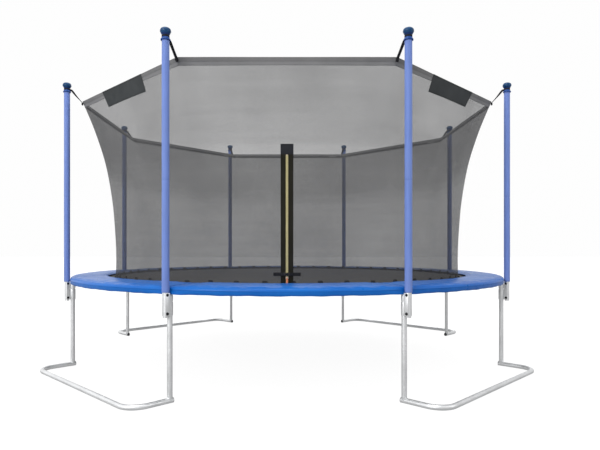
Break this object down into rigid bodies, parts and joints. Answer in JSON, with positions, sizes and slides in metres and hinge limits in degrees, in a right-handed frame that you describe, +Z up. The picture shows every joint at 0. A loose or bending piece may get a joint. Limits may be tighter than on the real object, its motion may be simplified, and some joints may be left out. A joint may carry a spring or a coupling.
{
  "type": "trampoline",
  "caption": "Round garden trampoline with padded edge, sprung mat, inner safety net on foam-sleeved poles and a zip door with a buckle.",
  "frame": {"origin": "on the ground under the middle of the mat", "axes": "+Z up, -Y towards the front with the zip door, +X to the right seen from the front"},
  "size_m": [4.3066, 4.3066, 2.594],
  "materials": {
    "galvanised_steel": "satin",
    "pole_foam": "matte",
    "cap_plastic": "satin",
    "mat_fabric": "matte",
    "spring_steel": "satin",
    "pad_cover": "satin",
    "net_mesh": "matte",
    "tape_webbing": "matte",
    "buckle_plastic": "satin",
    "slider_metal": "satin",
    "pull_red": "matte"
  },
  "bodies": {
    "frame": {"frame_arc_1": "galvanised_steel", "leg_upright_1": "galvanised_steel", "net_pole_1": "galvanised_steel", "pole_sleeve_1": "pole_foam", "pole_cap_1": "cap_plastic", "pole_bracket_1": "galvanised_steel", "frame_arc_2": "galvanised_steel", "leg_upright_2": "galvanised_steel", "net_pole_2": "galvanised_steel", "pole_sleeve_2": "pole_foam", "pole_cap_2": "cap_plastic", "pole_bracket_2": "galvanised_steel", "frame_arc_3": "galvanised_steel", "leg_upright_3": "galvanised_steel", "net_pole_3": "galvanised_steel", "pole_sleeve_3": "pole_foam", "pole_cap_3": "cap_plastic", "pole_bracket_3": "galvanised_steel", "frame_arc_4": "galvanised_steel", "leg_upright_4": "galvanised_steel", "net_pole_4": "galvanised_steel", "pole_sleeve_4": "pole_foam", "pole_cap_4": "cap_plastic", "pole_bracket_4": "galvanised_steel", "frame_arc_5": "galvanised_steel", "leg_upright_5": "galvanised_steel", "net_pole_5": "galvanised_steel", "pole_sleeve_5": "pole_foam", "pole_cap_5": "cap_plastic", "pole_bracket_5": "galvanised_steel", "frame_arc_6": "galvanised_steel", "leg_upright_6": "galvanised_steel", "net_pole_6": "galvanised_steel", "pole_sleeve_6": "pole_foam", "pole_cap_6": "cap_plastic", "pole_bracket_6": "galvanised_steel", "frame_arc_7": "galvanised_steel", "leg_upright_7": "galvanised_steel", "net_pole_7": "galvanised_steel", "pole_sleeve_7": "pole_foam", "pole_cap_7": "cap_plastic", "pole_bracket_7": "galvanised_steel", "frame_arc_8": "galvanised_steel", "leg_upright_8": "galvanised_steel", "net_pole_8": "galvanised_steel", "pole_sleeve_8": "pole_foam", "pole_cap_8": "cap_plastic", "pole_bracket_8": "galvanised_steel", "leg_base_1": "galvanised_steel", "leg_base_2": "galvanised_steel", "leg_base_3": "galvanised_steel", "leg_base_4": "galvanised_steel", "springs": "spring_steel", "safety_pad": "pad_cover", "safety_net": "net_mesh", "zip_tape": "tape_webbing"},
    "mat": {"jump_mat": "mat_fabric"},
    "buckle": {"buckle_plug": "buckle_plastic"},
    "slider": {"zip_slider": "slider_metal"},
    "pull": {"zip_pull": "pull_red"}
  },
  "joints": [
    {"name": "mat_bounce", "type": "slide", "parent": "frame", "child": "mat", "axis": [0, 0, 1], "range_m": [-0.35, 0], "stiffness_N_per_m": 8000, "springref_m": 0.02, "deforming": ["springs"]},
    {"name": "zip_run", "type": "slide", "parent": "frame", "child": "slider", "axis": [0, -0.042, 0.9991], "range_m": [0, 0.85]},
    {"name": "zip_pull_swing", "type": "hinge", "parent": "slider", "child": "pull", "pos_m": [0, -1.75795, 0.86355], "axis": [-1, 0, 0], "range_deg": [0, 100]},
    {"name": "buckle_release", "type": "slide", "parent": "frame", "child": "buckle", "axis": [1, 0, 0], "range_m": [0, 0.03]}
  ]
}
